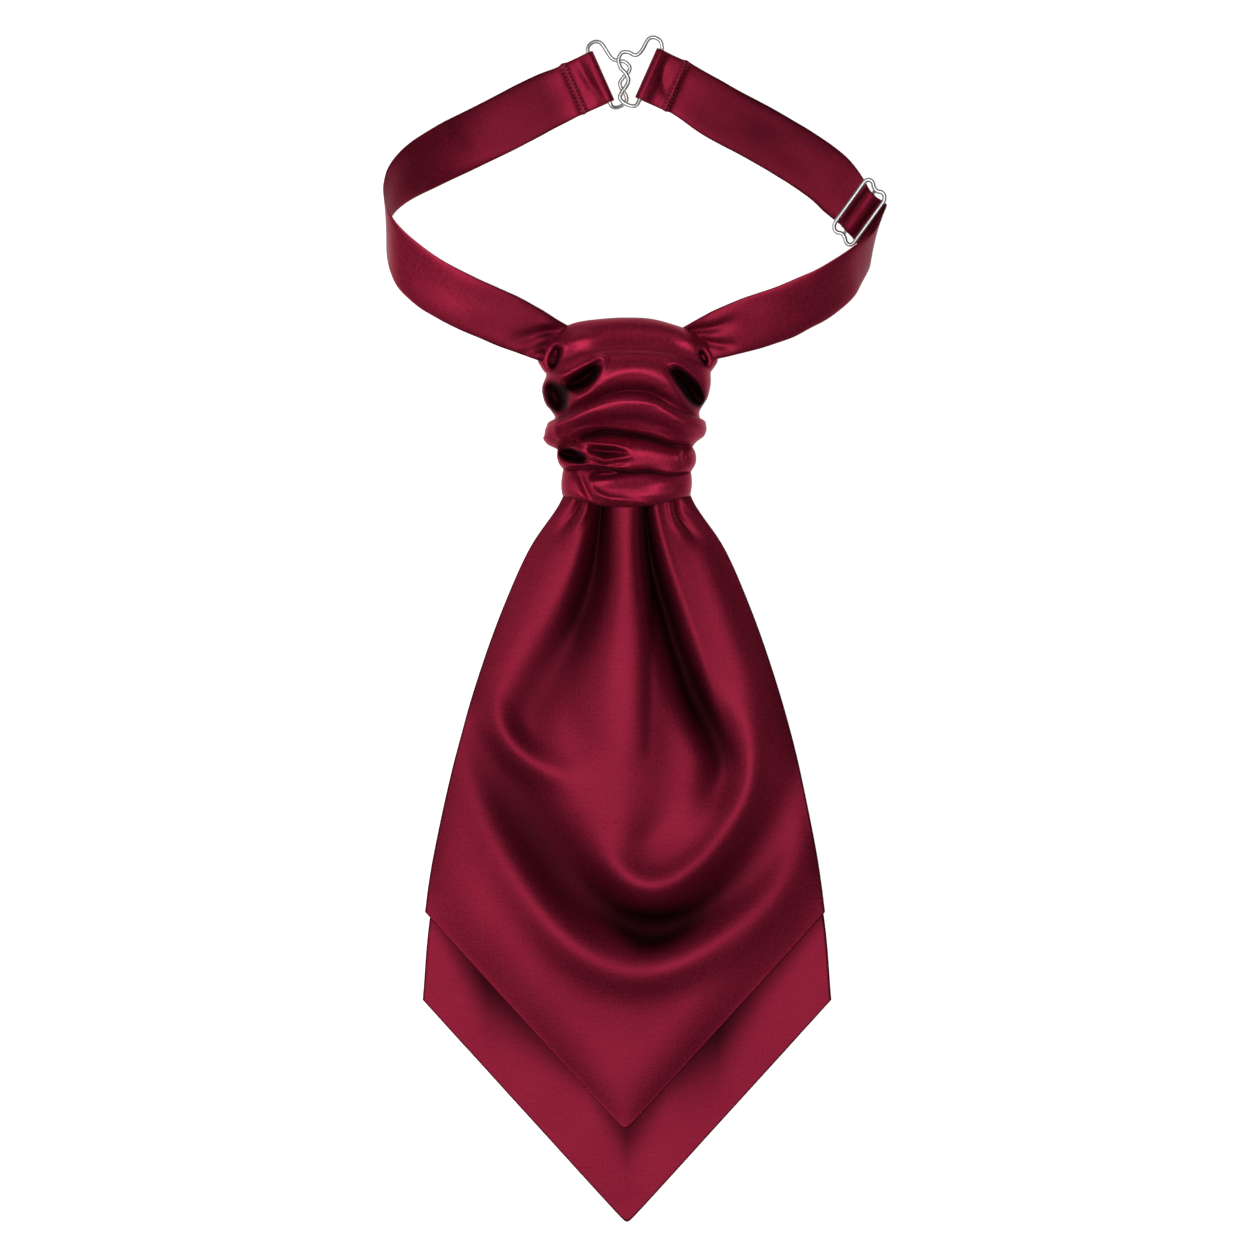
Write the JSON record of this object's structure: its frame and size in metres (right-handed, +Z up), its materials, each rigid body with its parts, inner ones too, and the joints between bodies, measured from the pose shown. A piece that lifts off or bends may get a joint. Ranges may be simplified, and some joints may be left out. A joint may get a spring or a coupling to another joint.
{
  "type": "silk cravat",
  "caption": "Pre-tied satin cravat laid flat: pointed double aprons below a ruched knot, on an adjustable neckband with a hook and a slide.",
  "frame": {"origin": "middle of the whole outline, on the surface that the cravat lies on", "axes": "+Y from the aprons' points up to the hook, +Z up from the surface towards the worn face, +X to the right as seen from above"},
  "size_m": [0.1783, 0.4197, 0.0226],
  "materials": {
    "wrap_satin": "wine red satin weave with a soft bright sheen",
    "front_satin": "wine red satin weave with a soft bright sheen",
    "back_satin": "wine red satin weave with a soft bright sheen",
    "band_satin": "wine red satin ribbon, folded and pressed",
    "hook_nickel": "bright plated round wire",
    "slide_nickel": "bright plated round wire"
  },
  "bodies": {
    "root": {"ruched_wrap": "wrap_satin", "front_apron": "front_satin", "back_apron": "back_satin", "band_left": "band_satin", "band_right": "band_satin", "hook_wire_left": "hook_nickel", "hook_wire_right": "hook_nickel", "slide_frame": "slide_nickel", "slide_bar": "slide_nickel"}
  },
  "joints": []
}
